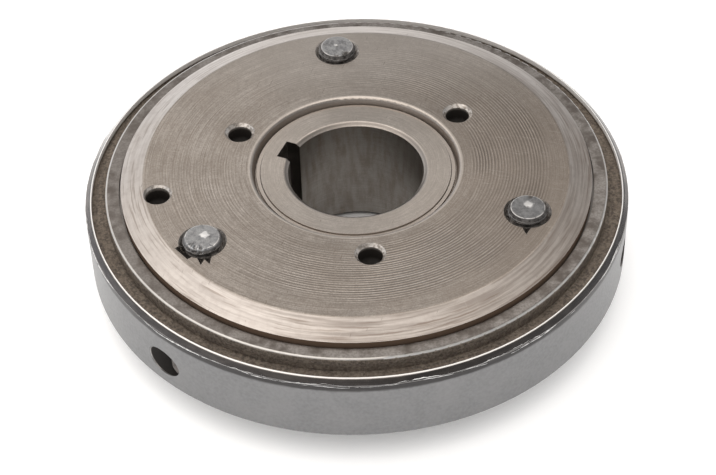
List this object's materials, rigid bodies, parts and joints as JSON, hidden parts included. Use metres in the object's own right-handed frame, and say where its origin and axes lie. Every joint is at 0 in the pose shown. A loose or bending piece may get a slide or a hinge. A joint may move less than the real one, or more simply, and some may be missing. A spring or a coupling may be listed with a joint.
{
  "type": "flywheel",
  "caption": "Small-engine flywheel hub with a keyed crankshaft bore, bolted to the roller one-way clutch housing of the electric starter.",
  "frame": {"origin": "on the crankshaft axis, level with the underside of the hub boss", "axes": "+Z along the crankshaft axis, out of the turned face; +Y towards one of the three clutch bolts"},
  "size_m": [0.112, 0.112, 0.0283],
  "materials": {
    "turned_steel": "fine turned steel, uncoated",
    "housing_steel": "satin ground steel, dirty in its groove",
    "plate_steel": "rolled and punched steel",
    "bolt_steel": "oil-blackened steel, worn at the ends",
    "ground_steel": "ground and polished bearing steel",
    "spring_steel": "drawn spring wire",
    "plug_steel": "dark oiled steel"
  },
  "bodies": {
    "hub": {"hub_disc": "turned_steel", "clutch_housing": "housing_steel", "side_plate": "plate_steel", "clutch_bolt_1": "bolt_steel", "plate_screw_1": "bolt_steel", "plunger_spring_1": "spring_steel", "spring_plug_1": "plug_steel", "clutch_bolt_2": "bolt_steel", "plate_screw_2": "bolt_steel", "plunger_spring_2": "spring_steel", "spring_plug_2": "plug_steel", "clutch_bolt_3": "bolt_steel", "plate_screw_3": "bolt_steel", "plunger_spring_3": "spring_steel", "spring_plug_3": "plug_steel"},
    "roller_1": {"roller_1": "ground_steel"},
    "plunger_1": {"plunger_1": "ground_steel"},
    "roller_2": {"roller_2": "ground_steel"},
    "plunger_2": {"plunger_2": "ground_steel"},
    "roller_3": {"roller_3": "ground_steel"},
    "plunger_3": {"plunger_3": "ground_steel"}
  },
  "joints": [
    {"name": "roller_1_slide", "type": "slide", "parent": "hub", "child": "roller_1", "axis": [-1, 0, 0], "range_m": [0, 0.0016], "stiffness_N_per_m": 100, "springref_m": -0.003},
    {"name": "plunger_1_slide", "type": "slide", "parent": "hub", "child": "plunger_1", "axis": [-1, 0, 0], "range_m": [0, 0.0016], "deforming": ["plunger_spring_1"]},
    {"name": "roller_2_slide", "type": "slide", "parent": "hub", "child": "roller_2", "axis": [0.5, -0.866, 0], "range_m": [0, 0.0016], "stiffness_N_per_m": 100, "springref_m": -0.003},
    {"name": "plunger_2_slide", "type": "slide", "parent": "hub", "child": "plunger_2", "axis": [0.5, -0.866, 0], "range_m": [0, 0.0016], "deforming": ["plunger_spring_2"]},
    {"name": "roller_3_slide", "type": "slide", "parent": "hub", "child": "roller_3", "axis": [0.5, 0.866, 0], "range_m": [0, 0.0016], "stiffness_N_per_m": 100, "springref_m": -0.003},
    {"name": "plunger_3_slide", "type": "slide", "parent": "hub", "child": "plunger_3", "axis": [0.5, 0.866, 0], "range_m": [0, 0.0016], "deforming": ["plunger_spring_3"]}
  ],
  "couplings": [
    {"joint": "plunger_1_slide", "follows": "roller_1_slide", "ratio": 1},
    {"joint": "plunger_2_slide", "follows": "roller_2_slide", "ratio": 1},
    {"joint": "plunger_3_slide", "follows": "roller_3_slide", "ratio": 1}
  ]
}
